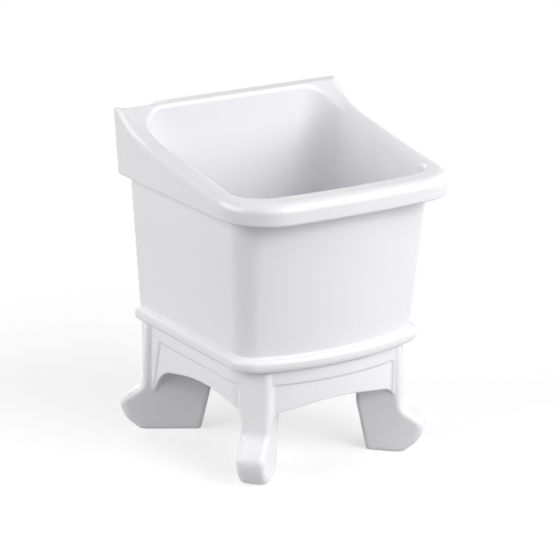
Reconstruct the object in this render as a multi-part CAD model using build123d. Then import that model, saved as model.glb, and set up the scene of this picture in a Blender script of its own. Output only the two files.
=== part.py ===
"""Utility laundry sink: a glazed fireclay basin bedded on a scroll-footed stand, with its waste fitting.

Millimetres. X is the width, -Y the front, +Y the wall side, +Z up. The origin is on the floor
under the middle of the sink.
"""
from build123d import *
from math import cos, pi, sin, sqrt
import os

# ---- overall -------------------------------------------------------------------------------
OVERALL_WIDTH = 410.0  # across the top of the splashback
OVERALL_DEPTH = 378.0  # wall face to the front of the rim
OVERALL_HEIGHT = 530.0  # floor to the top of the splashback
WALL_Y = OVERALL_DEPTH / 2  # flat back of the basin and the stand
FRONT_Y = -OVERALL_DEPTH / 2

# ---- levels --------------------------------------------------------------------------------
BASE_Z = 177.0  # underside of the basin
BODY_FOOT_Z = 201.0  # where the body meets the base moulding
RIM_UNDER_Z = 421.0  # underside of the rim band
RIM_TOP_Z = 456.0  # crown of the rim at the front
BED_THICKNESS = 2.0  # silicone bed between stand and basin
BED_INSET = 1.5
STAND_TOP_Z = BASE_Z - BED_THICKNESS

# ---- rim and splashback --------------------------------------------------------------------
BAND_WIDTH = 394.0  # rim band at its lower edge; the sides flare to the overall width
BAND_BOW = 11.0  # how far the front of the band bows out
BAND_CORNER_R = 80.0
CROWN_ROLL_R = 15.5  # outer roll of the rim
OPENING_ROLL_R = 11.0  # roll from the rim into the bowl
BAND_LIP_R = 4.0  # lower edge of the band
SPLASH_LAND = 20.0  # depth of the flat top of the splashback
SPLASH_EDGE_R = 4.0
SWEEP_SETBACK = 39.0  # where the rim starts to climb towards the splashback

# ---- body ----------------------------------------------------------------------------------
BODY_TOP_WIDTH = 351.0
BODY_TOP_SETBACK = 31.0  # front of the body behind the front of the band
BODY_TOP_BOW = 30.0
BODY_TOP_CORNER_R = 44.0
BODY_FOOT_WIDTH = 318.0
BODY_FOOT_SETBACK = 45.0
BODY_FOOT_BOW = 34.0
BODY_FOOT_CORNER_R = 36.0

# ---- base moulding -------------------------------------------------------------------------
BEAD_REACH = 10.0  # how far the bead stands proud of the body
BEAD_TOP_Z = 200.0
BEAD_SHOULDER_R = 8.5  # roll from the bead's face up to the body
BEAD_BELLY_R = 11.5  # roll from the bead's face down to the bed
UNDERCUT = 3.0  # how far the foot ring lies behind the body's face

# ---- bowl ----------------------------------------------------------------------------------
BOWL_TOP_INSET = 18.5  # bowl's sides, carried up to the top of the splashback, inside the band's lower edge
BOWL_TOP_REAR = 24.0  # bowl's back wall from the wall face
BOWL_TOP_SETBACK = 40.0  # bowl's front wall from the front of the rim
BOWL_TOP_BOW = 8.0
BOWL_TOP_CORNER_R = 48.0
BOWL_FLOOR_WIDTH = 290.0
BOWL_FLOOR_REAR = 26.0
BOWL_FLOOR_SETBACK = 58.0
BOWL_FLOOR_BOW = 24.0
BOWL_FLOOR_CORNER_R = 62.0
BOWL_FLOOR_REAR_CORNER_R = 54.0
BOWL_FLOOR_Z = 219.0
BOWL_HEEL_R = 38.0  # round between the walls and the floor
DISH_R = 100.0  # shallow cone that falls to the waste
DISH_FALL = 5.0
UNDERSIDE_Z = 205.0  # ceiling of the hollow under the floor
BACK_RELIEF = 11.0  # the wall face is relieved so that the back is no thicker than the sides
BACK_BORDER = 24.0
BACK_RELIEF_R = 30.0
BACK_RELIEF_DRAFT = 20.0  # degrees
FOOT_RING = 16.0  # width of the ring that the basin stands on
FOOT_RING_REAR_R = 12.0  # inner corners of that ring at the wall

# ---- stand ---------------------------------------------------------------------------------
STAND_WALL = 13.0
STAND_WIDTH = BODY_FOOT_WIDTH - 2 * UNDERCUT
STAND_SETBACK = BODY_FOOT_SETBACK + UNDERCUT
STAND_BOW = 32.0
STAND_CORNER_R = 60.0
STAND_REAR_R = 10.0  # inner corners at the wall
ARCH_CROWN_R = 350.0  # flat round at the top of every arch
ARCH_FRONT_SPAN = 232.0
ARCH_FRONT_SPRING_Z = 105.0  # where the flat crown would meet the uprights
ARCH_FRONT_PEAK_Z = 124.5  # where its two slopes would meet
ARCH_FRONT_SHOULDER_R = 26.0
ARCH_SIDE_FRONT_SETBACK = 87.0  # its front upright, behind the front of the rim
ARCH_SIDE_REAR_MARGIN = 35.0  # its rear upright, in front of the wall face
ARCH_SIDE_PEAK_MARGIN = 174.0
ARCH_SIDE_PEAK_Z = 129.0
ARCH_SIDE_FRONT_SPRING_Z = 112.0
ARCH_SIDE_REAR_SPRING_Z = 100.0
ARCH_SIDE_FRONT_SHOULDER_R = 44.0
ARCH_SIDE_REAR_SHOULDER_R = 58.0
PANEL_DEPTH = 3.0
PANEL_BEVEL = 2.4  # bevel from the face into the sunk panel
PANEL_TOP_Z = 154.0
PANEL_FRONT_WIDTH = 222.0
PANEL_SIDE_FRONT_SETBACK = 98.0
PANEL_SIDE_REAR_MARGIN = 53.5
PANEL_SIDE_LEAN = 20.0  # the rear edge of the side panel leans back on its way down
SKIRT_Z = 66.0  # the walls end here; below it only the feet go on

# ---- feet ----------------------------------------------------------------------------------
FOOT_THICKNESS = 46.0
FOOT_EDGE_R = 10.0
FOOT_HEEL_R = 7.0
NECK_REACH = 46.0  # from the foot's own datum to the front of its neck
NECK_LEAN = 5.0  # the neck leans back into the corner post on its way up
INSTEP_Z = 72.0  # where the neck's line would meet the top of the toe
INSTEP_R = 22.0
TOE_REACH = 83.0
TOE_Z = 50.0
TOE_R = 14.0
SOLE_REACH = 54.0
SOLE_R = 32.0
SOLE_CUT = 4.0  # the rounded outline runs this far below the floor and is cut flat
HEEL_FOOT = 8.5  # how far the sole runs on behind the datum
HEEL_REACH = 27.2  # how far the back of the foot stands behind the datum, higher up
HEEL_TOP_Z = 80.0
FRONT_FOOT_X = 106.0  # datum of a front foot
FRONT_FOOT_SETBACK = 105.0
FRONT_FOOT_TURN = 44.0  # degrees from the X axis
REAR_FOOT_X = 85.0
REAR_FOOT_MARGIN = 48.0
REAR_FOOT_TURN = 31.0
REAR_FOOT_EXTRA = 39.5  # the rear feet reach further out from their datum

# ---- waste outlet --------------------------------------------------------------------------
WASTE_Y = 14.0  # waste axis
WASTE_HOLE_R = 26.0
FLANGE_R = 36.0
FLANGE_GAP = 1.0  # all round, between the flange and its recess
FLANGE_SINK = 4.5  # depth of the recess
BOSS_R = 46.0
BOSS_Z = 195.0  # underside of the boss round the waste hole

# ---- waste fitting -------------------------------------------------------------------------
THREAD_GAP = 0.1  # between a nut or a washer and the tube that it goes round
BODY_GAP = 0.3  # between pieces that move apart
FLANGE_WASHER_T = 1.5
FLANGE_T = 3.5
FLANGE_EDGE = 1.6  # bevel round the flange
FUNNEL_R = 31.0  # mouth of the funnel in the flange
FUNNEL_DEPTH = 3.2
TUBE_R = 24.0  # threaded outside of the drain body
TUBE_END_Z = 150.0
SEAT_R = 22.0  # counterbore that the strainer basket drops into
SEAT_DEPTH = 2.0
BORE_R = 20.0
CLAMP_WASHER_T = 6.0
CLAMP_WASHER_R = 35.0
SLIP_WASHER_T = 2.0
LOCK_NUT_T = 13.0
LOCK_NUT_R = 38.0  # over the corners of the hexagon
NUT_BEVEL = 1.5

# ---- strainer basket and pop-up plug -------------------------------------------------------
BASKET_RIM_T = 1.5
BASKET_R = 19.5
BASKET_WALL = 1.3
BASKET_DEPTH = 25.0
BASKET_SLOTS = 12
BASKET_SLOT_WIDTH = 4.0
BASKET_SLOT_MARGIN = 4.0  # wall left above and below each slot
BASKET_HOLES = 6
BASKET_HOLE_R = 2.0
STEM_R = 4.0
STEM_RUNNING_GAP = 0.05
SLEEVE_R = 6.0
SLEEVE_ABOVE = 14.0  # sleeve above the basket's bottom
SLEEVE_BELOW = 14.0
SLEEVE_COLLAR_R = 9.0
SLEEVE_COLLAR_T = 2.0
PLUG_TRAVEL = 9.0  # the plug stands this far above its closed place
PLUG_CLOSED_GAP = 0.6  # above the funnel when it is closed, a soft seal's squeeze left out
SEAL_R = 27.0
SEAL_T = 1.8
CAP_R = 29.0
CAP_EDGE_T = 1.6
CAP_RISE = 3.4  # dome of the cap
CAP_BOSS_R = 7.8
CAP_BOSS_T = 3.5
STEM_NECK_R = 2.5
STEM_NECK_LENGTH = 3.0
CLIP_R = 7.0
CLIP_T = 1.5
CLIP_TAIL = 3.0  # stem below the clip
SPRING_WIRE = 1.2
SPRING_COIL_R = 6.6  # to the middle of the wire
SPRING_TURNS = 5

# ---- tail ----------------------------------------------------------------------------------
TAIL_WASHER_T = 2.0
TAIL_FLANGE_R = 23.5
TAIL_FLANGE_T = 1.5
TAIL_R = 16.0
TAIL_SHOULDER_R = 17.0  # stop for the hose, and the nut's bearing
TAIL_SHOULDER_DROP = 3.0  # how far the shoulder shows below the nut
TAIL_WALL = 1.5
TAIL_END_Z = 90.0
TAIL_NUT_R = 28.0
TAIL_NUT_LIP_T = 5.0
TAIL_NUT_GRIP = 12.0  # thread that the nut takes up
TAIL_NUT_RIBS = 12
TAIL_NUT_RIB_R = 2.0

# ---- levels of the waste fitting -----------------------------------------------------------
FLANGE_SEAT_Z = BOWL_FLOOR_Z - DISH_FALL - FLANGE_SINK
FLANGE_Z = FLANGE_SEAT_Z + FLANGE_WASHER_T
FLANGE_TOP_Z = FLANGE_Z + FLANGE_T
FUNNEL_END_Z = FLANGE_TOP_Z - FUNNEL_DEPTH
LEDGE_Z = FUNNEL_END_Z - SEAT_DEPTH
BASKET_Z = LEDGE_Z + BODY_GAP  # underside of the basket's rim
BASKET_FLOOR_Z = BASKET_Z - BASKET_DEPTH + BASKET_WALL  # inside of the basket
SLEEVE_TOP_Z = BASKET_FLOOR_Z + SLEEVE_ABOVE
SLEEVE_END_Z = BASKET_FLOOR_Z - SLEEVE_BELOW
FUNNEL_SLOPE = FUNNEL_DEPTH / (FUNNEL_R - SEAT_R)
SEAL_Z = FUNNEL_END_Z + (SEAL_R - SEAT_R) * FUNNEL_SLOPE + PLUG_CLOSED_GAP + PLUG_TRAVEL
CAP_Z = SEAL_Z + SEAL_T
CAP_BOSS_Z = CAP_Z - CAP_BOSS_T
TAIL_FLANGE_Z = TUBE_END_Z - TAIL_WASHER_T - TAIL_FLANGE_T


def bowed_plan(width, rear_y, front_y, bow, corner_r, z, rear_r=0.0):
    """Outline with a straight back, straight sides and a front that bows out."""
    half = width / 2
    shoulder_y = front_y + bow
    sides = Polyline((half, shoulder_y), (half, rear_y), (-half, rear_y), (-half, shoulder_y))
    front = ThreePointArc((-half, shoulder_y), (0, front_y), (half, shoulder_y))
    outline = make_face([sides, front])
    outline = fillet(outline.vertices().sort_by(Axis.Y)[:2], corner_r)
    if rear_r:
        outline = fillet(outline.vertices().sort_by(Axis.Y)[-2:], rear_r)
    return Pos(0, 0, z) * outline


def prism(outline, top_z):
    """The outline carried straight up from its own level."""
    return extrude(outline, top_z - outline.center().Z, dir=(0, 0, 1))


def at_waste(solid):
    return Pos(0, WASTE_Y, 0) * solid


def cylinder(radius, bottom_z, top_z):
    return extrude(Pos(0, 0, bottom_z) * Circle(radius), top_z - bottom_z)


def ring(outer_r, inner_r, bottom_z, top_z):
    return cylinder(outer_r, bottom_z, top_z) - cylinder(inner_r, bottom_z, top_z)


def turned(points):
    """A solid of revolution from its half section, given as radius and height."""
    return revolve(Plane.XZ * make_face(Polyline(*points, close=True)), Axis.Z)


# ---- basin ---------------------------------------------------------------------------------


def tangent_arcs(points):
    """Arcs through the points, each leaving the one before it smoothly; the first starts level."""
    arcs = []
    way = (1, 0)
    for start, end in zip(points, points[1:]):
        arc = TangentArc(start, end, tangent=way)
        arcs.append(arc)
        way = arc % 1
    return arcs


def rim_profile():
    """Side view of the rim: level along the front, then sweeping up to the splashback."""
    rise = OVERALL_HEIGHT - RIM_TOP_Z
    land_y = WALL_Y - SPLASH_LAND
    sweep_y = FRONT_Y + SWEEP_SETBACK
    run = land_y - sweep_y
    sweep_up = tangent_arcs([
        (sweep_y, RIM_TOP_Z),
        (sweep_y + 0.19 * run, RIM_TOP_Z + 0.06 * rise),
        (sweep_y + 0.47 * run, RIM_TOP_Z + 0.262 * rise),
        (sweep_y + 0.70 * run, RIM_TOP_Z + 0.44 * rise),
        (sweep_y + 0.87 * run, RIM_TOP_Z + 0.64 * rise),
        (land_y, OVERALL_HEIGHT),
    ])
    rest = Polyline(
        (land_y, OVERALL_HEIGHT),
        (WALL_Y, OVERALL_HEIGHT),
        (WALL_Y, RIM_UNDER_Z),
        (FRONT_Y - WALL_Y, RIM_UNDER_Z),
        (FRONT_Y - WALL_Y, RIM_TOP_Z),
        (sweep_y, RIM_TOP_Z),
    )
    return Plane.YZ * make_face([*sweep_up, rest])


def rim_block():
    """Splashback, sloping side rims and front band as one block, rolled along its edges."""
    band = loft([
        bowed_plan(BAND_WIDTH, WALL_Y, FRONT_Y, BAND_BOW, BAND_CORNER_R, RIM_UNDER_Z),
        bowed_plan(OVERALL_WIDTH, WALL_Y, FRONT_Y, BAND_BOW, BAND_CORNER_R, OVERALL_HEIGHT),
    ])
    band &= extrude(rim_profile(), OVERALL_WIDTH, both=True)
    crown = [
        edge
        for edge in band.edges()
        if RIM_TOP_Z - 1 < edge.center().Z < OVERALL_HEIGHT - 1
        and edge.center().Y < WALL_Y - 1
        and not (edge.geom_type == GeomType.LINE and abs(edge.tangent_at(0.5).X) > 0.9)
        and not (abs(edge.center().X) < 1 and edge.center().Y > FRONT_Y + SWEEP_SETBACK)
    ]
    band = fillet(crown, CROWN_ROLL_R)
    lip = [e for e in band.edges() if abs(e.center().Z - RIM_UNDER_Z) < 0.1 and e.center().Y < WALL_Y - 1]
    return fillet(lip, BAND_LIP_R)


def body_block():
    foot = bowed_plan(
        BODY_FOOT_WIDTH, WALL_Y, FRONT_Y + BODY_FOOT_SETBACK, BODY_FOOT_BOW, BODY_FOOT_CORNER_R, BODY_FOOT_Z
    )
    top = bowed_plan(
        BODY_TOP_WIDTH, WALL_Y, FRONT_Y + BODY_TOP_SETBACK, BODY_TOP_BOW, BODY_TOP_CORNER_R, RIM_UNDER_Z
    )
    return loft([foot, top])


def base_plan(inset, z, rear_inset=0.0, rear_r=0.0):
    """The body's foot outline drawn in by an even inset."""
    return bowed_plan(
        BODY_FOOT_WIDTH - 2 * inset,
        WALL_Y - rear_inset,
        FRONT_Y + BODY_FOOT_SETBACK + inset,
        BODY_FOOT_BOW,
        BODY_FOOT_CORNER_R - inset / 2,
        z,
        rear_r,
    )


def base_moulding():
    """Rolled bead round the left side, the front and the right side, dying at the wall face."""
    bead = prism(base_plan(-BEAD_REACH, BASE_Z), BEAD_TOP_Z)
    shoulder = [e for e in bead.faces().sort_by(Axis.Z)[-1].edges() if e.center().Y < WALL_Y - 1]
    bead = fillet(shoulder, BEAD_SHOULDER_R)
    belly = [e for e in bead.faces().sort_by(Axis.Z)[0].edges() if e.center().Y < WALL_Y - 1]
    return fillet(belly, BEAD_BELLY_R)


def bowl_space():
    """The hollow of the bowl, carried up past the splashback."""
    floor = bowed_plan(
        BOWL_FLOOR_WIDTH,
        WALL_Y - BOWL_FLOOR_REAR,
        FRONT_Y + BOWL_FLOOR_SETBACK,
        BOWL_FLOOR_BOW,
        BOWL_FLOOR_CORNER_R,
        BOWL_FLOOR_Z,
        BOWL_FLOOR_REAR_CORNER_R,
    )
    top = bowed_plan(
        BAND_WIDTH - 2 * BOWL_TOP_INSET,
        WALL_Y - BOWL_TOP_REAR,
        FRONT_Y + BOWL_TOP_SETBACK,
        BOWL_TOP_BOW,
        BOWL_TOP_CORNER_R,
        OVERALL_HEIGHT + 1,
        BOWL_TOP_CORNER_R,
    )
    space = loft([floor, top])
    space = fillet(space.faces().sort_by(Axis.Z)[0].edges(), BOWL_HEEL_R)
    dish = at_waste(turned([(0, BOWL_FLOOR_Z + 1), (DISH_R, BOWL_FLOOR_Z + 1), (DISH_R, BOWL_FLOOR_Z),
                            (WASTE_HOLE_R, BOWL_FLOOR_Z - DISH_FALL), (0, BOWL_FLOOR_Z - DISH_FALL)]))
    return space + dish


def back_relief():
    """Shallow recess in the wall face, inside a flat border."""
    bottom_z = BODY_FOOT_Z + BACK_BORDER / 2
    top_z = OVERALL_HEIGHT - BACK_BORDER
    width = BODY_FOOT_WIDTH - 2 * BACK_BORDER
    outline = RectangleRounded(width, top_z - bottom_z, BACK_RELIEF_R)
    face = Plane(origin=(0, WALL_Y, (bottom_z + top_z) / 2), x_dir=(1, 0, 0), z_dir=(0, -1, 0)) * outline
    return extrude(face, BACK_RELIEF, taper=BACK_RELIEF_DRAFT)


def basin():
    shell = rim_block() + body_block()
    shell += prism(base_plan(UNDERCUT, BASE_Z), BODY_FOOT_Z)
    shell += base_moulding()
    shell -= prism(
        base_plan(UNDERCUT + FOOT_RING, BASE_Z - 1, rear_inset=FOOT_RING, rear_r=FOOT_RING_REAR_R), UNDERSIDE_Z
    )
    shell += at_waste(cylinder(BOSS_R, BOSS_Z, UNDERSIDE_Z + 1))
    shell -= back_relief()
    space = bowl_space()
    hollowed = shell - space
    opening = [e for e in new_edges(shell, space, combined=hollowed) if e.center().Z > RIM_TOP_Z - 1]
    shell = fillet(opening, OPENING_ROLL_R)
    land = [
        e
        for e in shell.edges()
        if abs(e.center().Z - OVERALL_HEIGHT) < 0.1 and e.center().Y < WALL_Y - 1
    ]
    shell = fillet(land, SPLASH_EDGE_R)
    shell -= at_waste(cylinder(FLANGE_R + FLANGE_GAP, FLANGE_SEAT_Z, BOWL_FLOOR_Z + 1))
    shell -= at_waste(cylinder(WASTE_HOLE_R, BOSS_Z - 1, BOWL_FLOOR_Z + 1))
    return shell


# ---- stand ---------------------------------------------------------------------------------


def stand_plan(inset, z, rear_r=0.0):
    return bowed_plan(
        STAND_WIDTH - 2 * inset,
        WALL_Y - inset,
        FRONT_Y + STAND_SETBACK + inset,
        STAND_BOW,
        STAND_CORNER_R - inset,
        z,
        rear_r,
    )


def arch(left, right, left_spring_z, right_spring_z, peak, left_r, right_r):
    """Basket-handle arch: upright sides, tight shoulders and a long flat crown."""
    below_z = -1.0
    outline = FilletPolyline(
        (left, below_z),
        (left, left_spring_z),
        peak,
        (right, right_spring_z),
        (right, below_z),
        radius=[left_r, ARCH_CROWN_R, right_r],
    )
    return make_face([outline, Line((right, below_z), (left, below_z))])


def arches():
    """The same arch through the front and the rear wall, and one through both sides."""
    half = ARCH_FRONT_SPAN / 2
    front = arch(
        -half, half, ARCH_FRONT_SPRING_Z, ARCH_FRONT_SPRING_Z, (0, ARCH_FRONT_PEAK_Z),
        ARCH_FRONT_SHOULDER_R, ARCH_FRONT_SHOULDER_R,
    )
    side = arch(
        FRONT_Y + ARCH_SIDE_FRONT_SETBACK, WALL_Y - ARCH_SIDE_REAR_MARGIN,
        ARCH_SIDE_FRONT_SPRING_Z, ARCH_SIDE_REAR_SPRING_Z,
        (WALL_Y - ARCH_SIDE_PEAK_MARGIN, ARCH_SIDE_PEAK_Z),
        ARCH_SIDE_FRONT_SHOULDER_R, ARCH_SIDE_REAR_SHOULDER_R,
    )
    return extrude(Plane.XZ * front, OVERALL_WIDTH, both=True) + extrude(Plane.YZ * side, OVERALL_WIDTH, both=True)


def sunk(panel, inner_face):
    """A panel's cut with its sides bevelled; the lower side stays open to the arch."""
    border = [e for e in inner_face.edges() if e.center().Z > SKIRT_Z]
    return chamfer(border, PANEL_BEVEL)


def panels():
    """Sunk panels of one shallow depth in the front and in both sides."""
    skin = prism(stand_plan(-PANEL_DEPTH, 0), STAND_TOP_Z) - prism(stand_plan(PANEL_DEPTH, 0), STAND_TOP_Z)
    half = PANEL_FRONT_WIDTH / 2
    front = Polyline((-half, 0), (-half, PANEL_TOP_Z), (half, PANEL_TOP_Z), (half, 0), close=True)
    front_cut = skin & extrude(Plane.XZ * make_face(front), OVERALL_DEPTH)
    front_y = FRONT_Y + PANEL_SIDE_FRONT_SETBACK
    rear_y = WALL_Y - PANEL_SIDE_REAR_MARGIN
    side = Polyline(
        (front_y, 0),
        (front_y, PANEL_TOP_Z),
        (rear_y, PANEL_TOP_Z),
        (rear_y + PANEL_SIDE_LEAN, SKIRT_Z),
        (rear_y + PANEL_SIDE_LEAN, 0),
        close=True,
    )
    side_cut = skin & extrude(Plane.YZ * make_face(side), OVERALL_WIDTH)
    front_cut = sunk(front_cut, front_cut.faces().sort_by(Axis.Y)[-1])
    side_cut = sunk(side_cut, side_cut.faces().sort_by(Axis.X)[0])
    return front_cut + side_cut + mirror(side_cut, about=Plane.YZ)


def foot(datum_x, datum_y, angle, extra):
    """Upright slab with a scroll toe, standing across the corner of the stand."""
    neck = NECK_REACH + extra
    scroll = FilletPolyline(
        (neck - NECK_LEAN, STAND_TOP_Z),
        (neck, INSTEP_Z),
        (TOE_REACH + extra, TOE_Z),
        (SOLE_REACH + extra, -SOLE_CUT),
        (-HEEL_FOOT, -SOLE_CUT),
        radius=[INSTEP_R, TOE_R, SOLE_R],
    )
    back = Polyline(
        (-HEEL_FOOT, -SOLE_CUT),
        (-HEEL_REACH, HEEL_TOP_Z),
        (-HEEL_REACH, STAND_TOP_Z),
        (neck - NECK_LEAN, STAND_TOP_Z),
    )
    slab = extrude(Plane.XZ * make_face([scroll, back]), FOOT_THICKNESS / 2, both=True)
    flanks = [e for e in slab.edges() if abs(e.center().Y) > FOOT_THICKNESS / 2 - 0.1]
    toe_edges = [e for e in flanks if e.center().X > neck - INSTEP_R and e.center().Z < STAND_TOP_Z - 1]
    slab = fillet(toe_edges, FOOT_EDGE_R)
    flanks = [e for e in slab.edges() if abs(e.center().Y) > FOOT_THICKNESS / 2 - 0.1]
    heel_edges = [e for e in flanks if e.center().X < -HEEL_FOOT and 0 < e.center().Z < STAND_TOP_Z - 1]
    slab = fillet(heel_edges, FOOT_HEEL_R)
    return Pos(datum_x, datum_y, 0) * Rot(0, 0, angle) * slab


def stand():
    walls = prism(stand_plan(0, SKIRT_Z), STAND_TOP_Z) - prism(
        stand_plan(STAND_WALL, SKIRT_Z - 1, rear_r=STAND_REAR_R), STAND_TOP_Z + 1
    )
    walls -= arches()
    walls -= panels()
    front_right = foot(FRONT_FOOT_X, FRONT_Y + FRONT_FOOT_SETBACK, -FRONT_FOOT_TURN, 0)
    rear_right = foot(REAR_FOOT_X, WALL_Y - REAR_FOOT_MARGIN, REAR_FOOT_TURN, REAR_FOOT_EXTRA)
    feet = front_right + rear_right
    feet += mirror(feet, about=Plane.YZ)
    room = Pos(0, WALL_Y - OVERALL_DEPTH, 0) * Box(
        2 * OVERALL_WIDTH, 2 * OVERALL_DEPTH, STAND_TOP_Z, align=(Align.CENTER, Align.CENTER, Align.MIN)
    )
    return walls + (feet & room)


def setting_bed():
    """Silicone bed that the basin is set on."""
    outer = prism(stand_plan(BED_INSET, STAND_TOP_Z), BASE_Z)
    return outer - prism(stand_plan(STAND_WALL - BED_INSET, STAND_TOP_Z - 1, rear_r=STAND_REAR_R), BASE_Z + 1)


# ---- waste fitting -------------------------------------------------------------------------


def drain_body():
    """Flange with its funnel, and the threaded tube below it."""
    return at_waste(turned([
        (BORE_R, TUBE_END_Z),
        (TUBE_R, TUBE_END_Z),
        (TUBE_R, FLANGE_Z),
        (FLANGE_R, FLANGE_Z),
        (FLANGE_R, FLANGE_TOP_Z - FLANGE_EDGE),
        (FLANGE_R - FLANGE_EDGE, FLANGE_TOP_Z),
        (FUNNEL_R, FLANGE_TOP_Z),
        (SEAT_R, FUNNEL_END_Z),
        (SEAT_R, LEDGE_Z),
        (BORE_R, LEDGE_Z),
    ]))


def flange_washer():
    return at_waste(ring(FLANGE_R - FLANGE_EDGE / 2, TUBE_R + THREAD_GAP, FLANGE_SEAT_Z, FLANGE_Z))


def clamp_washer():
    return at_waste(ring(CLAMP_WASHER_R, TUBE_R + THREAD_GAP, BOSS_Z - CLAMP_WASHER_T, BOSS_Z))


def slip_washer():
    top_z = BOSS_Z - CLAMP_WASHER_T
    return at_waste(ring(CLAMP_WASHER_R, TUBE_R + THREAD_GAP, top_z - SLIP_WASHER_T, top_z))


def lock_nut():
    """Hexagon nut that clamps the basin between the washers and the flange."""
    top_z = BOSS_Z - CLAMP_WASHER_T - SLIP_WASHER_T
    hexagon = extrude(Pos(0, 0, top_z - LOCK_NUT_T) * RegularPolygon(LOCK_NUT_R, 6), LOCK_NUT_T)
    rounded = chamfer(cylinder(LOCK_NUT_R, top_z - LOCK_NUT_T, top_z).edges(), NUT_BEVEL)
    return at_waste((hexagon & rounded) - cylinder(TUBE_R + THREAD_GAP, top_z - LOCK_NUT_T - 1, top_z + 1))


def tail_nut():
    """Ribbed nut that draws the tailpiece up against the end of the drain body."""
    bottom_z = TAIL_FLANGE_Z - TAIL_NUT_LIP_T
    top_z = TUBE_END_Z + TAIL_NUT_GRIP
    nut = cylinder(TAIL_NUT_R, bottom_z, top_z)
    rib = Pos(TAIL_NUT_R, 0, 0) * cylinder(TAIL_NUT_RIB_R, bottom_z, top_z)
    for index in range(TAIL_NUT_RIBS):
        nut += Rot(0, 0, 360 * index / TAIL_NUT_RIBS) * rib
    nut -= cylinder(TUBE_R + THREAD_GAP, TAIL_FLANGE_Z, top_z + 1)
    return at_waste(nut - cylinder(TAIL_SHOULDER_R + THREAD_GAP, bottom_z - 1, TAIL_FLANGE_Z + 1))


def tail_washer():
    return at_waste(ring(TAIL_FLANGE_R, TAIL_R, TUBE_END_Z - TAIL_WASHER_T, TUBE_END_Z))


def tailpiece():
    """Flanged outlet tube that the drain hose or the trap goes onto."""
    tube = cylinder(TAIL_R, TAIL_END_Z, TAIL_FLANGE_Z + TAIL_FLANGE_T)
    shoulder_z = TAIL_FLANGE_Z - TAIL_NUT_LIP_T - TAIL_SHOULDER_DROP
    tube += cylinder(TAIL_SHOULDER_R, shoulder_z, TAIL_FLANGE_Z + TAIL_FLANGE_T)
    tube += cylinder(TAIL_FLANGE_R, TAIL_FLANGE_Z, TAIL_FLANGE_Z + TAIL_FLANGE_T)
    return at_waste(tube - cylinder(TAIL_R - TAIL_WALL, TAIL_END_Z - 1, TUBE_END_Z))


# ---- strainer basket and pop-up plug -------------------------------------------------------


def strainer_basket():
    """Basket on the ledge of the drain body, slotted round its wall and holed in its bottom."""
    basket = turned([
        (SLEEVE_R + THREAD_GAP, BASKET_FLOOR_Z - BASKET_WALL),
        (BASKET_R, BASKET_FLOOR_Z - BASKET_WALL),
        (BASKET_R, BASKET_Z),
        (SEAT_R - BODY_GAP, BASKET_Z),
        (SEAT_R - BODY_GAP, BASKET_Z + BASKET_RIM_T),
        (BASKET_R - BASKET_WALL, BASKET_Z + BASKET_RIM_T),
        (BASKET_R - BASKET_WALL, BASKET_FLOOR_Z),
        (SLEEVE_R + THREAD_GAP, BASKET_FLOOR_Z),
    ])
    slot_z = BASKET_FLOOR_Z + BASKET_SLOT_MARGIN
    slot_height = BASKET_Z - BASKET_SLOT_MARGIN - slot_z
    slot = Pos(BASKET_R, 0, slot_z + slot_height / 2) * Box(4 * BASKET_WALL, BASKET_SLOT_WIDTH, slot_height)
    hole_circle_r = (SLEEVE_COLLAR_R + BASKET_R) / 2
    hole = Pos(hole_circle_r, 0, 0) * cylinder(BASKET_HOLE_R, BASKET_FLOOR_Z - BASKET_WALL - 1, BASKET_FLOOR_Z + 1)
    for index in range(BASKET_SLOTS):
        basket -= Rot(0, 0, 360 * index / BASKET_SLOTS) * slot
    for index in range(BASKET_HOLES):
        basket -= Rot(0, 0, 360 * index / BASKET_HOLES) * hole
    return at_waste(basket)


def plug_sleeve():
    """Guide of the plug's stem, held in the bottom of the basket."""
    sleeve = cylinder(SLEEVE_R, SLEEVE_END_Z, SLEEVE_TOP_Z)
    sleeve += cylinder(SLEEVE_COLLAR_R, BASKET_FLOOR_Z, BASKET_FLOOR_Z + SLEEVE_COLLAR_T)
    return at_waste(sleeve - cylinder(STEM_R + STEM_RUNNING_GAP, SLEEVE_END_Z - 1, SLEEVE_TOP_Z + 1))


def stem_clip():
    """Ring under the sleeve that keeps the spring from pushing the plug out."""
    top_z = SLEEVE_END_Z - BODY_GAP
    return at_waste(ring(CLIP_R, STEM_R, top_z - CLIP_T, top_z))


def plug_stem():
    end_z = SLEEVE_END_Z - BODY_GAP - CLIP_T - CLIP_TAIL
    neck = cylinder(STEM_NECK_R, CAP_BOSS_Z, CAP_BOSS_Z + STEM_NECK_LENGTH)
    return at_waste(cylinder(STEM_R, end_z, CAP_BOSS_Z) + neck)


def plug_cap():
    """Domed cap with a boss that takes the stem's neck and the seal."""
    section = Polyline(
        (STEM_NECK_R + THREAD_GAP, CAP_BOSS_Z),
        (CAP_BOSS_R, CAP_BOSS_Z),
        (CAP_BOSS_R, CAP_Z),
        (CAP_R, CAP_Z),
        (CAP_R, CAP_Z + CAP_EDGE_T),
    )
    top_z = CAP_Z + CAP_EDGE_T + CAP_RISE
    dome = TangentArc((0, top_z), (CAP_R, CAP_Z + CAP_EDGE_T), tangent=(1, 0))
    blind_z = CAP_BOSS_Z + STEM_NECK_LENGTH + THREAD_GAP
    core = Polyline(
        (0, top_z), (0, blind_z), (STEM_NECK_R + THREAD_GAP, blind_z), (STEM_NECK_R + THREAD_GAP, CAP_BOSS_Z)
    )
    return at_waste(revolve(Plane.XZ * make_face([section, dome, core]), Axis.Z))


def plug_seal():
    return at_waste(ring(SEAL_R, CAP_BOSS_R + THREAD_GAP, SEAL_Z, CAP_Z))


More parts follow.
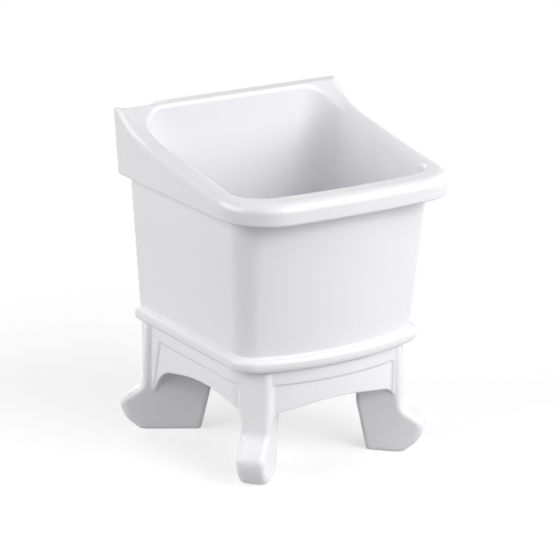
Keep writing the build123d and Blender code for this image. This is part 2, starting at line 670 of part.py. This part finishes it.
def coil_point(turn, bottom_z, pitch):
    """A point of the coil's middle line and the direction of the wire there."""
    angle = 2 * pi * turn
    point = Vector(SPRING_COIL_R * cos(angle), SPRING_COIL_R * sin(angle), bottom_z + pitch * turn)
    along = Vector(-SPRING_COIL_R * sin(angle), SPRING_COIL_R * cos(angle), pitch / (2 * pi))
    return point, along.normalized()


def plug_spring():
    """Compression spring between the sleeve and the cap's boss."""
    bottom_z = SLEEVE_TOP_Z + BODY_GAP + SPRING_WIRE / 2
    top_z = CAP_BOSS_Z - BODY_GAP - SPRING_WIRE / 2
    pitch = (top_z - bottom_z) / SPRING_TURNS
    print(f"plug_spring: {SPRING_TURNS} turns, least gap {pitch - SPRING_WIRE:.2f} mm between turns")
    steps_per_turn = 2
    arcs = []
    for step in range(SPRING_TURNS * steps_per_turn):
        start, start_way = coil_point(step / steps_per_turn, bottom_z, pitch)
        end, end_way = coil_point((step + 1) / steps_per_turn, bottom_z, pitch)
        chord = end - start
        spread = start_way + end_way
        a = 4 - spread.dot(spread)
        b = chord.dot(spread)
        arm = (sqrt(b * b + a * chord.dot(chord)) - b) / a
        middle = (start + start_way * arm + end - end_way * arm) / 2
        arcs.append(TangentArc(start, middle, tangent=start_way))
        arcs.append(TangentArc(end, middle, tangent=-end_way))
    path = Wire(arcs)
    start, start_way = coil_point(0, bottom_z, pitch)
    section = Plane(origin=start, z_dir=start_way) * RegularPolygon(SPRING_WIRE / 2, 6)
    return at_waste(sweep(section, path=path))


PIECES = (
    basin,
    stand,
    setting_bed,
    drain_body,
    flange_washer,
    clamp_washer,
    slip_washer,
    lock_nut,
    tail_nut,
    tail_washer,
    tailpiece,
    strainer_basket,
    plug_sleeve,
    plug_stem,
    stem_clip,
    plug_cap,
    plug_seal,
    plug_spring,
)


if __name__ == "__main__":
    os.makedirs("parts", exist_ok=True)
    for piece in PIECES:
        export_step(piece(), f"parts/{piece.__name__}.step")
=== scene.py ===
"""Utility laundry sink: the glazed castings, the waste fitting, and the studio they stand in."""
from math import cos, pi, radians, sin, sqrt

import bmesh
import bpy
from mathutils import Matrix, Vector


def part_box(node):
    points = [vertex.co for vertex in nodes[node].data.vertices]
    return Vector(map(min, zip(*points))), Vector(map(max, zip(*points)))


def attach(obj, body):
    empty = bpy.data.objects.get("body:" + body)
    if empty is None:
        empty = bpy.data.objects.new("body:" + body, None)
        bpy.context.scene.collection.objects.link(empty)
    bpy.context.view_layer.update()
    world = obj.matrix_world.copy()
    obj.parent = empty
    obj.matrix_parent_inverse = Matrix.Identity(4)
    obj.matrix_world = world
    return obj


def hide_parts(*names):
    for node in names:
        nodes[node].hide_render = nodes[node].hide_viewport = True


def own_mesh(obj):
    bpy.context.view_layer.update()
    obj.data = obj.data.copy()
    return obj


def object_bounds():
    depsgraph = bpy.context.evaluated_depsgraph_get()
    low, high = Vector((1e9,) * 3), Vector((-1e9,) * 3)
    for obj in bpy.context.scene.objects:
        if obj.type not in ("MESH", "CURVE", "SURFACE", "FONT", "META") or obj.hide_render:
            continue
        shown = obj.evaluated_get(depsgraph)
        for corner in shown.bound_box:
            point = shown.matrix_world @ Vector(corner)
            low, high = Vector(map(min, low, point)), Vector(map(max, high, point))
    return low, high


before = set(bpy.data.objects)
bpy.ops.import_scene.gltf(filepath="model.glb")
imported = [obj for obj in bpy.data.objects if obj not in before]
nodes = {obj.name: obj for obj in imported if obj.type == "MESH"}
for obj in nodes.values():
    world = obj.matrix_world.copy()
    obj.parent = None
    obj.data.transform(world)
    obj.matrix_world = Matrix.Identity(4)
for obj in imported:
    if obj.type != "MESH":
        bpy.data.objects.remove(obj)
cad_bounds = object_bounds()

# ---- Camera --------------------------------------------------------------------------------
# A long lens a little above the rim, looking at the left side and the front.
# The angles and the distance were fitted to the edges of the sink in the photograph.
PHOTO_WIDTH = 560
LENS_PIXELS = 2555.4  # focal length in the photograph's pixels
SENSOR_WIDTH = 36.0
CAMERA_TURN = radians(-33.738)
CAMERA_TILT = radians(17.995)
CAMERA_ROLL = radians(0.778)
CAMERA_DISTANCE = 4.0425
AIM_RIGHT = -0.016  # the point it looks at, from the middle of the sink's foot
AIM_UP = 0.2548

away = sin(CAMERA_TURN) * cos(CAMERA_TILT)
forward = -cos(CAMERA_TURN) * cos(CAMERA_TILT)
back = Vector((away, forward, sin(CAMERA_TILT)))
level_right = (-back).cross(Vector((0, 0, 1))).normalized()
level_up = level_right.cross(-back)
right = level_right * cos(CAMERA_ROLL) + level_up * sin(CAMERA_ROLL)
up = level_up * cos(CAMERA_ROLL) - level_right * sin(CAMERA_ROLL)

lens = bpy.data.cameras.new("camera")
lens.sensor_width = SENSOR_WIDTH
lens.lens = LENS_PIXELS / PHOTO_WIDTH * SENSOR_WIDTH
camera = bpy.data.objects.new("camera", lens)
turned = camera.matrix_world.to_3x3()
for row in range(3):
    turned[row] = (right[row], up[row], back[row])
camera.matrix_world = turned.to_4x4()
camera.location = level_right * AIM_RIGHT + level_up * AIM_UP + back * CAMERA_DISTANCE
bpy.context.scene.collection.objects.link(camera)
bpy.context.scene.camera = camera
bpy.context.scene.view_settings.view_transform = "Standard"

# ---- Lamps ---------------------------------------------------------------------------------
# Wide softboxes round the sink, set by the tones of its faces in the photograph. The key stands on
# the front right, a strong one on the left and slightly behind, and weaker fills in between.
SINK_MIDDLE = (0.0, 0.0, 0.3)
SOFTBOX_WIDTH = 2.4
SOFTBOX_HEIGHT = 1.8


def softbox(name, place, power):
    """A softbox that looks at the middle of the sink."""
    lamp = bpy.data.lights.new(name, "AREA")
    lamp.shape = "RECTANGLE"
    lamp.size = SOFTBOX_WIDTH
    lamp.size_y = SOFTBOX_HEIGHT
    lamp.energy = power
    box = bpy.data.objects.new(name, lamp)
    box.location = place
    box.rotation_euler = (Vector(place) - Vector(SINK_MIDDLE)).to_track_quat("Z", "Y").to_euler()
    bpy.context.scene.collection.objects.link(box)


softbox("key_softbox", (1.0, -1.72, 1.97), 27)
softbox("low_key_softbox", (1.2, -2.09, 1.27), 39)
softbox("front_fill", (0.0, -2.41, 1.27), 16)
softbox("left_softbox", (-2.33, 0.62, 1.27), 54)
softbox("right_fill", (2.41, 0.0, 1.27), 10)
softbox("back_fill", (0.0, 2.5, 0.95), 22)

# ---- World and floor -----------------------------------------------------------------------
# A white studio. The camera, the glaze and the metal see it as white, and the light that it
# gives is weaker. The floor is white too and keeps the sink's shadow.
WORLD_LIGHT = 0.03  # of the white that is seen
FLOOR_SIZE = 12.0
FLOOR_COLOUR = (0.5, 0.5, 0.5, 1.0)
FLOOR_LIFT = 0.58  # added where the camera or a reflection sees the floor
FADE_START = 0.45  # the floor turns into the white of the room between these distances
FADE_END = 1.0


def seen_or_mirrored(tree):
    """1 for rays from the camera, from a reflection and through glass, otherwise 0."""
    path = tree.nodes.new("ShaderNodeLightPath")
    total = path.outputs["Is Camera Ray"]
    for ray in ("Is Glossy Ray", "Is Transmission Ray"):
        either = tree.nodes.new("ShaderNodeMath")
        either.operation = "MAXIMUM"
        tree.links.new(total, either.inputs[0])
        tree.links.new(path.outputs[ray], either.inputs[1])
        total = either.outputs[0]
    return total


world = bpy.data.worlds.new("white_studio")
world.use_nodes = True
bpy.context.scene.world = world
sky = world.node_tree
strength = sky.nodes.new("ShaderNodeMapRange")
strength.inputs["To Min"].default_value = WORLD_LIGHT
strength.inputs["To Max"].default_value = 1.0
sky.links.new(seen_or_mirrored(sky), strength.inputs["Value"])
sky.links.new(strength.outputs["Result"], sky.nodes["Background"].inputs["Strength"])
sky.nodes["Background"].inputs["Color"].default_value = (1, 1, 1, 1)

floor_paint = bpy.data.materials.new("floor")
floor_paint.use_nodes = True
paint = floor_paint.node_tree
seen = seen_or_mirrored(paint)
paint.nodes.remove(paint.nodes["Principled BSDF"])
matt = paint.nodes.new("ShaderNodeBsdfDiffuse")
matt.inputs["Color"].default_value = FLOOR_COLOUR
glow = paint.nodes.new("ShaderNodeEmission")
glow_strength = paint.nodes.new("ShaderNodeMath")
glow_strength.operation = "MULTIPLY"
glow_strength.inputs[1].default_value = FLOOR_LIFT
paint.links.new(seen, glow_strength.inputs[0])
paint.links.new(glow_strength.outputs[0], glow.inputs["Strength"])
both = paint.nodes.new("ShaderNodeAddShader")
paint.links.new(matt.outputs[0], both.inputs[0])
paint.links.new(glow.outputs[0], both.inputs[1])
far = paint.nodes.new("ShaderNodeEmission")
paint.links.new(seen, far.inputs["Strength"])
place = paint.nodes.new("ShaderNodeTexCoord")
distance = paint.nodes.new("ShaderNodeVectorMath")
distance.operation = "LENGTH"
paint.links.new(place.outputs["Object"], distance.inputs[0])
fade = paint.nodes.new("ShaderNodeMapRange")
fade.interpolation_type = "SMOOTHSTEP"
fade.inputs["From Min"].default_value = FADE_START
fade.inputs["From Max"].default_value = FADE_END
paint.links.new(distance.outputs["Value"], fade.inputs["Value"])
faded = paint.nodes.new("ShaderNodeMixShader")
paint.links.new(fade.outputs["Result"], faded.inputs["Fac"])
paint.links.new(both.outputs[0], faded.inputs[1])
paint.links.new(far.outputs[0], faded.inputs[2])
paint.links.new(faded.outputs[0], paint.nodes["Material Output"].inputs["Surface"])

reach = FLOOR_SIZE / 2
floor_corners = [(-reach, -reach, 0), (reach, -reach, 0), (reach, reach, 0), (-reach, reach, 0)]
floor_mesh = bpy.data.meshes.new("floor")
floor_mesh.from_pydata(floor_corners, [], [(0, 1, 2, 3)])
floor = bpy.data.objects.new("floor", floor_mesh)
floor_mesh.materials.append(floor_paint)
bpy.context.scene.collection.objects.link(floor)

# ---- Basin ---------------------------------------------------------------------------------
# The upper casting, slip-cast fireclay under a thick white glaze. The glaze rounds every edge and
# pools a little in the hollows, so the casting is softened as a whole.
GLAZE_WHITE = (0.845, 0.84, 0.868, 1.0)
GLAZE_SHADE = 0.97  # of the white, at the darkest of the clouds
GLAZE_CLOUDS = 9.0  # to the metre
GLAZE_RIPPLES = 22.0
RIPPLE_STRENGTH = 0.08
RIPPLE_HEIGHT = 0.002
GLAZE_VOXEL = 0.0014
BASIN_SOFTENING = 3  # passes


def plain_surface(name):
    """A new material, with its nodes and its shader."""
    material = bpy.data.materials.new(name)
    material.use_nodes = True
    return material, material.node_tree, material.node_tree.nodes["Principled BSDF"]


def noise(tree, scale, detail):
    """Noise that keeps its place on the piece."""
    place = tree.nodes.new("ShaderNodeTexCoord")
    pattern = tree.nodes.new("ShaderNodeTexNoise")
    pattern.inputs["Scale"].default_value = scale
    pattern.inputs["Detail"].default_value = detail
    tree.links.new(place.outputs["Object"], pattern.inputs["Vector"])
    return pattern.outputs["Fac"]


def clouded(tree, surface, colour, shade, clouds):
    """A colour that drifts to a darker shade of itself."""
    tone = tree.nodes.new("ShaderNodeMix")
    tone.data_type = "RGBA"
    tone.inputs["A"].default_value = colour
    tone.inputs["B"].default_value = tuple(shade * value for value in colour[:3]) + (1.0,)
    tree.links.new(clouds, tone.inputs["Factor"])
    tree.links.new(tone.outputs["Result"], surface.inputs["Base Color"])


def embossed(tree, surface, relief, strength, height):
    """A shallow relief in the finish."""
    bump = tree.nodes.new("ShaderNodeBump")
    bump.inputs["Strength"].default_value = strength
    bump.inputs["Distance"].default_value = height
    tree.links.new(relief, bump.inputs["Height"])
    tree.links.new(bump.outputs["Normal"], surface.inputs["Normal"])


def glaze_material():
    """Glossy glaze with a slow ripple and a faint change of tone."""
    material, tree, surface = plain_surface("white_glaze")
    surface.inputs["Roughness"].default_value = 0.25
    surface.inputs["IOR"].default_value = 1.5
    surface.inputs["Specular IOR Level"].default_value = 0.35
    surface.inputs["Coat Weight"].default_value = 0.35
    surface.inputs["Coat Roughness"].default_value = 0.05
    clouded(tree, surface, GLAZE_WHITE, GLAZE_SHADE, noise(tree, GLAZE_CLOUDS, 3.0))
    embossed(tree, surface, noise(tree, GLAZE_RIPPLES, 1.0), RIPPLE_STRENGTH, RIPPLE_HEIGHT)
    return material


white_glaze = glaze_material()


def glazed_casting(node, passes, extra=None):
    """The casting's own shape, with what is built up on it, and every edge rounded by the glaze."""
    casting = bpy.data.objects.new("glazed_" + node, nodes[node].data.copy())
    bpy.context.scene.collection.objects.link(casting)
    if extra is not None:
        body = bmesh.new()
        body.from_mesh(casting.data)
        body.from_mesh(extra)
        body.to_mesh(casting.data)
        body.free()
    remesh = casting.modifiers.new("glaze", "REMESH")
    remesh.mode = "VOXEL"
    remesh.voxel_size = GLAZE_VOXEL
    soften = casting.modifiers.new("soften", "SMOOTH")
    soften.factor = 0.5
    soften.iterations = passes
    evaluated = casting.evaluated_get(bpy.context.evaluated_depsgraph_get())
    shape = bpy.data.meshes.new_from_object(evaluated)
    casting.modifiers.clear()
    casting.data = shape
    shape.materials.clear()
    shape.materials.append(white_glaze)
    shape.polygons.foreach_set("use_smooth", [True] * len(shape.polygons))
    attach(casting, "root")
    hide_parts(node)


glazed_casting("basin", BASIN_SOFTENING)

# ---- Stand ---------------------------------------------------------------------------------
# The lower casting, glazed as the basin is. The toe of each foot is a roll of clay, built up here
# on the plain toe: the slope of the instep turns over in a tight curve and runs round to the sole
# in one wide arc.
STAND_SOFTENING = 10  # passes
INSTEP_START = (0.0562, 0.066)  # out from the foot's datum, and up
INSTEP_SLOPE = radians(59)  # the way that the slope faces
TIP_CENTRE = (0.06703, 0.04316)
TIP_RADIUS = 0.014
TIP_END = radians(-9.2)
ROLL_CENTRE = (0.031, 0.049)
ROLL_RADIUS = 0.0505
ROLL_END = radians(-95)
FOOT_THICKNESS = 0.046
FLANK_EDGE = 0.010  # round along both flanks
TIP_STEPS = 10
ROLL_STEPS = 20
FLANK_STEPS = 12  # from the middle of the foot to either flank
WALL_FACE = cad_bounds[1][1]  # the rear feet are cut flat here
FEET = [  # datum across and out from the middle, turn, and how much further the foot reaches
    (0.106, -0.084, radians(-44), 0.0),
    (0.085, 0.141, radians(31), 0.0395),
]


def on_circle(centre, radius, angle):
    """A point this far from the centre, out and up."""
    return (centre[0] + radius * cos(angle), centre[1] + radius * sin(angle))


def toe_outline(inset):
    """Outline of the toe, this much smaller all round than at the middle of the foot."""
    outline = [ROLL_CENTRE, on_circle(INSTEP_START, -inset, INSTEP_SLOPE)]
    for step in range(TIP_STEPS + 1):
        angle = INSTEP_SLOPE + (TIP_END - INSTEP_SLOPE) * step / TIP_STEPS
        outline.append(on_circle(TIP_CENTRE, TIP_RADIUS - inset, angle))
    for step in range(1, ROLL_STEPS + 1):
        angle = TIP_END + (ROLL_END - TIP_END) * step / ROLL_STEPS
        out, height = on_circle(ROLL_CENTRE, ROLL_RADIUS - inset, angle)
        outline.append((out, max(0.0, height)))
    return outline


def skin(body, rows):
    """Faces from each outline to the next, and one over each end."""
    for near, far in zip(rows, rows[1:]):
        for place in range(len(near)):
            following = (place + 1) % len(near)
            body.faces.new((near[place], near[following], far[following], far[place]))
    body.faces.new(rows[0])
    body.faces.new(rows[-1])


def toe_roll(body, foot, side):
    """One toe, as outlines across the thickness of the foot that shrink towards both flanks."""
    datum_x, datum_y, turn, further = foot
    flank = FOOT_THICKNESS / 2
    rows = []
    for step in range(-FLANK_STEPS, FLANK_STEPS + 1):
        offset = flank * step / FLANK_STEPS
        beyond = max(0.0, abs(offset) - (flank - FLANK_EDGE))
        inset = FLANK_EDGE - sqrt(max(0.0, FLANK_EDGE**2 - beyond**2))
        row = []
        for out, height in toe_outline(inset):
            along = out + further
            x = datum_x + along * cos(turn) - offset * sin(turn)
            y = datum_y + along * sin(turn) + offset * cos(turn)
            row.append(body.verts.new((side * x, y, height)))
        rows.append(row)
    skin(body, rows)


def toe_rolls():
    """All four toes, the rear ones cut off flat where they would pass into the wall."""
    body = bmesh.new()
    for foot in FEET:
        for side in (1, -1):
            toe_roll(body, foot, side)
    everything = body.verts[:] + body.edges[:] + body.faces[:]
    wall = {"plane_co": (0, WALL_FACE, 0), "plane_no": (0, 1, 0)}
    bmesh.ops.bisect_plane(body, geom=everything, clear_outer=True, **wall)
    bmesh.ops.holes_fill(body, edges=[edge for edge in body.edges if edge.is_boundary])
    bmesh.ops.recalc_face_normals(body, faces=body.faces)
    rolls = bpy.data.meshes.new("toe_rolls")
    body.to_mesh(rolls)
    body.free()
    return rolls


glazed_casting("stand", STAND_SOFTENING, toe_rolls())

# ---- Setting bed ---------------------------------------------------------------------------
# A bead of white sanitary silicone between the basin and the stand, greyed here as painted shade
# in the joint. It was pressed to 2 mm when the basin was set down, stands back in the joint and has
# a dull, tooled face.
MOULDED_CLOUDS = 60.0  # to the metre
MOULDED_SHADE = 0.82
MOULDED_SPREAD = 0.08  # of the roughness, either way
GRAIN_STRENGTH = 0.5


def uneven_shine(tree, surface, pattern, shiniest, dullest):
    """Shine that follows a pattern. Returns the range, for a part of the pattern to be picked."""
    shine = tree.nodes.new("ShaderNodeMapRange")
    shine.inputs["To Min"].default_value = shiniest
    shine.inputs["To Max"].default_value = dullest
    tree.links.new(pattern, shine.inputs["Value"])
    tree.links.new(shine.outputs["Result"], surface.inputs["Roughness"])
    return shine


def moulded(name, colour, roughness, grain, grain_height):
    """A moulded material: an even colour that clouds slightly, and a fine grain."""
    material, tree, surface = plain_surface(name)
    clouds = noise(tree, MOULDED_CLOUDS, 4.0)
    clouded(tree, surface, colour, MOULDED_SHADE, clouds)
    uneven_shine(tree, surface, clouds, roughness - MOULDED_SPREAD, roughness + MOULDED_SPREAD)
    embossed(tree, surface, noise(tree, 1.0 / grain, 2.0), GRAIN_STRENGTH, grain_height)
    return material


# The grey colour is painted shade in the joint; the real bead is white.
silicone = moulded(
    "silicone", colour=(0.6, 0.6, 0.6, 1.0), roughness=0.5, grain=0.006, grain_height=0.0006
)
nodes["setting_bed"].material_slots[0].material = silicone

# ---- Waste: rubber and plastic pieces ------------------------------------------------------
# Black rubber washers and the plug's seal have a dusty, slightly open face. The lock nut, its
# slip washer, the tail nut and the tailpiece are moulded in white polypropylene.
black_rubber = moulded(
    "black_rubber", colour=(0.024, 0.024, 0.025, 1.0), roughness=0.6, grain=0.0006, grain_height=0.00008
)
for name in ("flange_washer", "clamp_washer", "tail_washer", "plug_seal"):
    nodes[name].material_slots[0].material = black_rubber

white_plastic = moulded(
    "white_plastic", colour=(0.76, 0.76, 0.74, 1.0), roughness=0.34, grain=0.0009, grain_height=0.00004
)
for name in ("slip_washer", "lock_nut", "tail_nut", "tailpiece"):
    nodes[name].material_slots[0].material = white_plastic

# ---- Waste: metal pieces -------------------------------------------------------------------
# The drain body, the basket and the cap are turned stainless steel, with a clip of steel wire. The
# sleeve and the stem are brass. Fine tool lines run round the axis that all of them share.
WASTE_AXIS_Y = 0.014
TOOL_LINE_PITCH = 0.00035
TOOL_LINE_STRENGTH = 0.4
DULL_PATCHES = 45.0  # to the metre
DULL_FROM = 0.35  # of the patches' pattern
DULL_TO = 0.75
DULL_SPREAD = 0.14


def tool_lines(tree):
    """A wave that rises and falls outwards from the waste's axis and along it."""
    place = tree.nodes.new("ShaderNodeTexCoord")
    centred = tree.nodes.new("ShaderNodeVectorMath")
    centred.operation = "SUBTRACT"
    centred.inputs[1].default_value = (0.0, WASTE_AXIS_Y, 0.0)
    tree.links.new(place.outputs["Object"], centred.inputs[0])
    flat = tree.nodes.new("ShaderNodeVectorMath")
    flat.operation = "MULTIPLY"
    flat.inputs[1].default_value = (1.0, 1.0, 0.0)
    tree.links.new(centred.outputs["Vector"], flat.inputs[0])
    radius = tree.nodes.new("ShaderNodeVectorMath")
    radius.operation = "LENGTH"
    tree.links.new(flat.outputs["Vector"], radius.inputs[0])
    split = tree.nodes.new("ShaderNodeSeparateXYZ")
    tree.links.new(centred.outputs["Vector"], split.inputs["Vector"])
    along = tree.nodes.new("ShaderNodeMath")
    along.operation = "ADD"
    tree.links.new(radius.outputs["Value"], along.inputs[0])
    tree.links.new(split.outputs["Z"], along.inputs[1])
    turns = tree.nodes.new("ShaderNodeMath")
    turns.operation = "MULTIPLY"
    turns.inputs[1].default_value = 2 * pi / TOOL_LINE_PITCH
    tree.links.new(along.outputs["Value"], turns.inputs[0])
    wave = tree.nodes.new("ShaderNodeMath")
    wave.operation = "SINE"
    tree.links.new(turns.outputs["Value"], wave.inputs[0])
    return wave.outputs["Value"]


def turned_metal(name, colour, roughness, line_height):
    """Polished metal with the lines of the lathe and a few dull patches."""
    material, tree, metal = plain_surface(name)
    metal.inputs["Base Color"].default_value = colour
    metal.inputs["Metallic"].default_value = 1.0
    embossed(tree, metal, tool_lines(tree), TOOL_LINE_STRENGTH, line_height)
    patches = noise(tree, DULL_PATCHES, 5.0)
    shine = uneven_shine(tree, metal, patches, roughness, roughness + DULL_SPREAD)
    shine.inputs["From Min"].default_value = DULL_FROM
    shine.inputs["From Max"].default_value = DULL_TO
    return material


steel = turned_metal("steel", colour=(0.56, 0.56, 0.55, 1.0), roughness=0.16, line_height=0.000008)
for name in ("drain_body", "strainer_basket", "plug_cap", "stem_clip"):
    nodes[name].material_slots[0].material = steel

brass = turned_metal("brass", colour=(0.66, 0.47, 0.18, 1.0), roughness=0.2, line_height=0.000010)
for name in ("plug_sleeve", "plug_stem"):
    nodes[name].material_slots[0].material = brass

# ---- Spring --------------------------------------------------------------------------------
# Drawn steel wire wound in five turns, the end turns closed on themselves. It stands on the
# sleeve's shoulder round the stem, carries the cap, and shortens as the plug is pressed.
SPRING_WIRE = 0.0012
SPRING_COIL = 0.0066  # to the middle of the wire
SPRING_TURNS = 5
CLOSED_TURNS = 0.9  # at each end
CLOSED_PITCH = 1.06 * SPRING_WIRE
SPRING_SLICES = 40  # to a turn
WIRE_SIDES = 10


def spring_rise(turn, length):
    """Height of the middle of the wire above its lower end."""
    closed = CLOSED_TURNS * CLOSED_PITCH
    open_turns = SPRING_TURNS - 2 * CLOSED_TURNS
    if turn < CLOSED_TURNS:
        return turn * CLOSED_PITCH
    if turn > SPRING_TURNS - CLOSED_TURNS:
        return length - (SPRING_TURNS - turn) * CLOSED_PITCH
    return closed + (turn - CLOSED_TURNS) * (length - 2 * closed) / open_turns


def steel_piece(name, body):
    """A new piece of bare steel, from its finished body."""
    bmesh.ops.recalc_face_normals(body, faces=body.faces)
    mesh = bpy.data.meshes.new(name)
    body.to_mesh(mesh)
    body.free()
    mesh.materials.append(steel)
    piece = bpy.data.objects.new(name, mesh)
    bpy.context.scene.collection.objects.link(piece)
    return piece


def wound_spring():
    """The spring at rest, which flattens towards its lower end."""
    lowest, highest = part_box("plug_spring")
    bottom = lowest.z
    top = highest.z
    length = top - bottom - SPRING_WIRE
    body = bmesh.new()
    rows = []
    for step in range(SPRING_TURNS * SPRING_SLICES + 1):
        turn = step / SPRING_SLICES
        height = bottom + SPRING_WIRE / 2 + spring_rise(turn, length)
        row = []
        for side in range(WIRE_SIDES):
            angle = 2 * pi * side / WIRE_SIDES
            out, rise = on_circle((SPRING_COIL, height), SPRING_WIRE / 2, angle)
            x = out * cos(2 * pi * turn)
            y = WASTE_AXIS_Y + out * sin(2 * pi * turn)
            row.append(body.verts.new((x, y, rise)))
        rows.append(row)
    skin(body, rows)
    spring = steel_piece("wound_spring", body)
    spring.data.polygons.foreach_set("use_smooth", [True] * len(spring.data.polygons))
    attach(spring, "core")
    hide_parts("plug_spring")
    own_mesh(spring)


wound_spring()

# ---- Thread --------------------------------------------------------------------------------
# The drain body's rolled thread shows between the lock nut and the tail nut. It is one ridge
# that winds up the tube, from 162 mm to 174 mm above the floor.
THREAD_BOTTOM = 0.1624
THREAD_TOP = 0.1736
THREAD_PITCH = 0.0016
THREAD_ROOT = 0.02395
THREAD_CREST = 0.0249
THREAD_SECTION = [(0, -0.42), (1, -0.06), (1, 0.06), (0, 0.42)]  # root or crest, and rise in pitches
THREAD_SLICES = 48  # to a turn
THREAD_RUN_OUT = 12  # slices over which the ridge fades away at each end
THREAD_LEAST = 0.05  # of the ridge's height, at its very ends


def drain_thread():
    """The ridge, cut off just short of the two nuts."""
    turns = (THREAD_TOP - THREAD_BOTTOM - THREAD_PITCH) / THREAD_PITCH
    slices = int(turns * THREAD_SLICES)
    body = bmesh.new()
    rows = []
    for step in range(slices + 1):
        angle = 2 * pi * step / THREAD_SLICES
        height = THREAD_BOTTOM + THREAD_PITCH * (step / THREAD_SLICES + 0.5)
        share = max(THREAD_LEAST, min(1.0, step / THREAD_RUN_OUT, (slices - step) / THREAD_RUN_OUT))
        row = []
        for at_crest, rise in THREAD_SECTION:
            radius = THREAD_ROOT + at_crest * (THREAD_CREST - THREAD_ROOT) * share
            x = radius * cos(angle)
            y = WASTE_AXIS_Y + radius * sin(angle)
            row.append(body.verts.new((x, y, height + rise * THREAD_PITCH)))
        rows.append(row)
    skin(body, rows)
    ridge = steel_piece("drain_thread", body)
    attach(ridge, "root")


drain_thread()
